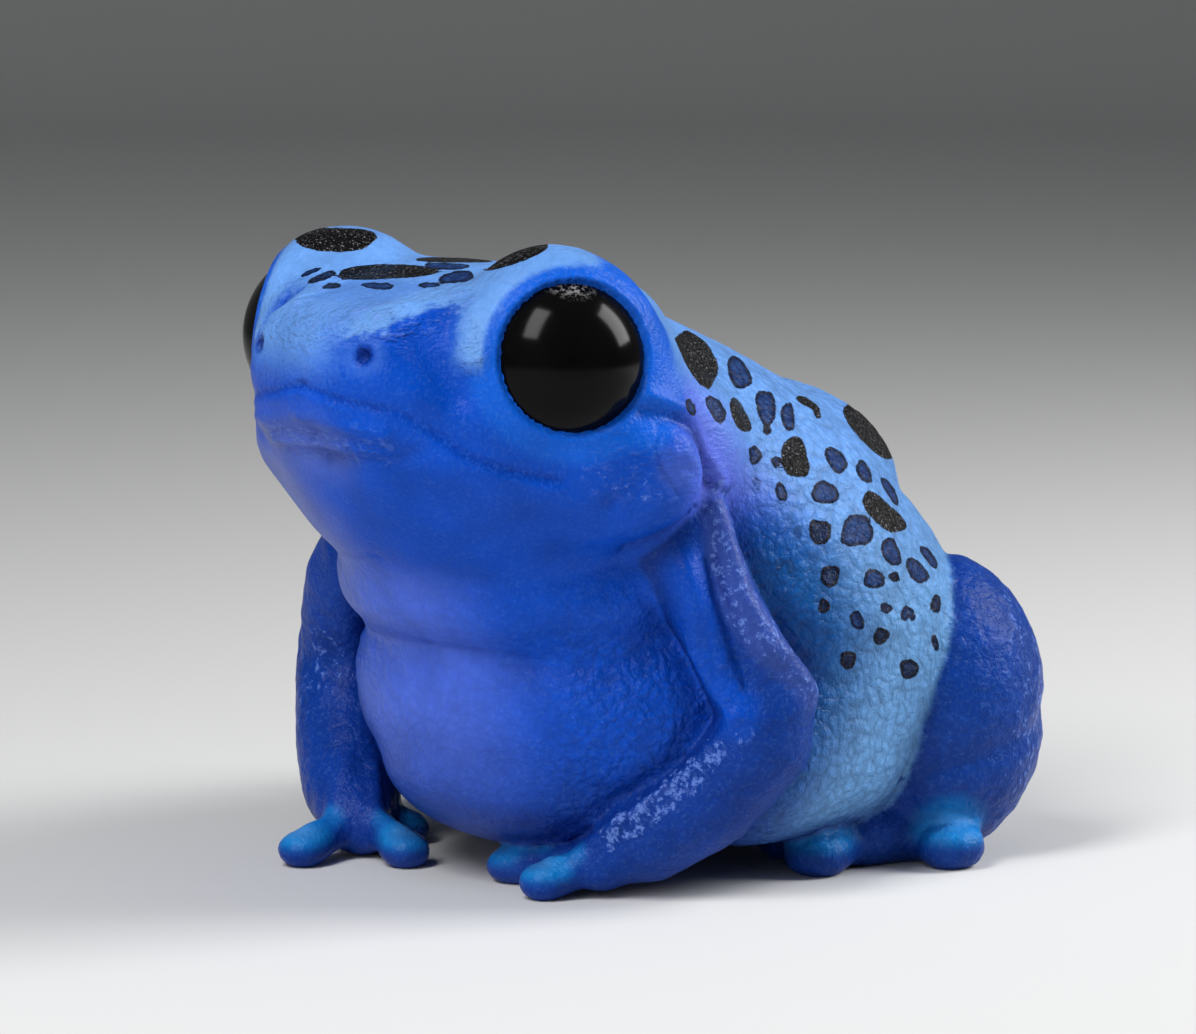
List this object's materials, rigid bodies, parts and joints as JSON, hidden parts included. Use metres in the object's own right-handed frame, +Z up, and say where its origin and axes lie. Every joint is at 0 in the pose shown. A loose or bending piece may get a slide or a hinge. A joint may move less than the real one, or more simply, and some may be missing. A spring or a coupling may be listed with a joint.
{
  "type": "poison dart frog figurine",
  "caption": "Moulded figurine of a squat, seated blue poison dart frog with raised head, large domed eyes, arms turned in and folded hind legs.",
  "frame": {"origin": "centre of the footprint, on the plane that the hands and hind feet rest on", "axes": "-Y is the way the frog looks, +X its left side, +Z up"},
  "size_m": [0.0484, 0.0554, 0.0456],
  "materials": {
    "painted_skin": "moulded soft plastic with a fine pebbled skin, sprayed and dry-brushed in sky blue, cobalt and violet blue, with hand-painted dark spots and cyan toe tips, satin",
    "gloss_black_eye": "smooth domed eye in black gloss paint"
  },
  "bodies": {
    "root": {"head": "painted_skin", "torso": "painted_skin", "upper_arm_left": "painted_skin", "upper_arm_right": "painted_skin", "forearm_left": "painted_skin", "forearm_right": "painted_skin", "hand_left": "painted_skin", "hand_right": "painted_skin", "hind_leg_left": "painted_skin", "hind_leg_right": "painted_skin", "hind_foot_left": "painted_skin", "hind_foot_right": "painted_skin", "eye_left": "gloss_black_eye", "eye_right": "gloss_black_eye"}
  },
  "joints": []
}
